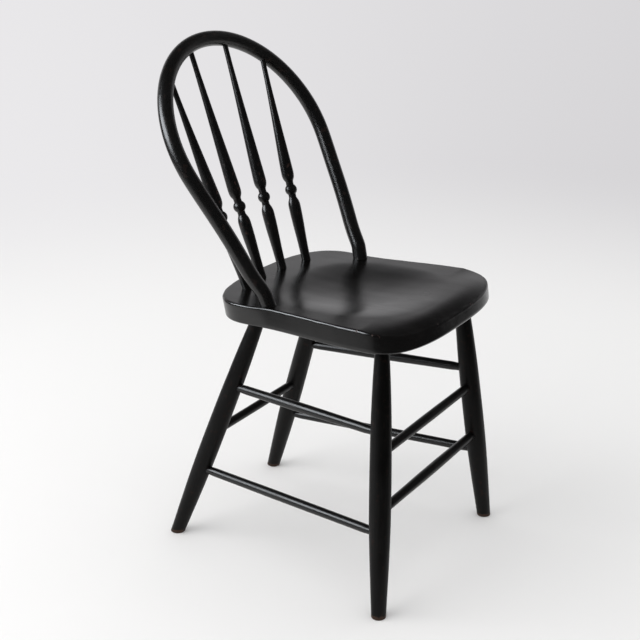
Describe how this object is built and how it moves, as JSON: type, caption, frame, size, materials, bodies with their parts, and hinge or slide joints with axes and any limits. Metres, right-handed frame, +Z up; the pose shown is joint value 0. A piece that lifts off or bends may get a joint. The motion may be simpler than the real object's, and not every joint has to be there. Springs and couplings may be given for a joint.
{
  "type": "windsor side chair",
  "caption": "Black painted hoop-back windsor side chair with a scooped seat, turned back spindles and splayed, turned legs joined by stretchers.",
  "frame": {"origin": "on the floor, under the middle of the chair's bounding box", "axes": "+Z up, the front of the seat faces -Y, the sitter's left hand is on +X"},
  "size_m": [0.3856, 0.4706, 0.8132],
  "materials": {
    "seat_paint": "satin black paint over wood, worn thin along the edges",
    "bow_paint": "satin black paint over bent wood",
    "spindle_paint": "satin black paint over turned wood",
    "leg_paint": "satin black paint over turned wood, worn at the feet",
    "stretcher_paint": "satin black paint over turned wood",
    "wedge_wood": "thinly painted hardwood end grain"
  },
  "bodies": {
    "root": {"seat": "seat_paint", "bow": "bow_paint", "bow_wedge_left": "wedge_wood", "bow_wedge_right": "wedge_wood", "spindle_outer_left": "spindle_paint", "spindle_outer_right": "spindle_paint", "spindle_inner_left": "spindle_paint", "spindle_inner_right": "spindle_paint", "leg_front_left": "leg_paint", "leg_front_right": "leg_paint", "leg_rear_left": "leg_paint", "leg_rear_right": "leg_paint", "stretcher_side_upper_left": "stretcher_paint", "stretcher_side_upper_right": "stretcher_paint", "stretcher_side_lower_left": "stretcher_paint", "stretcher_side_lower_right": "stretcher_paint", "stretcher_front_upper": "stretcher_paint", "stretcher_front_lower": "stretcher_paint", "stretcher_rear": "stretcher_paint"}
  },
  "joints": []
}
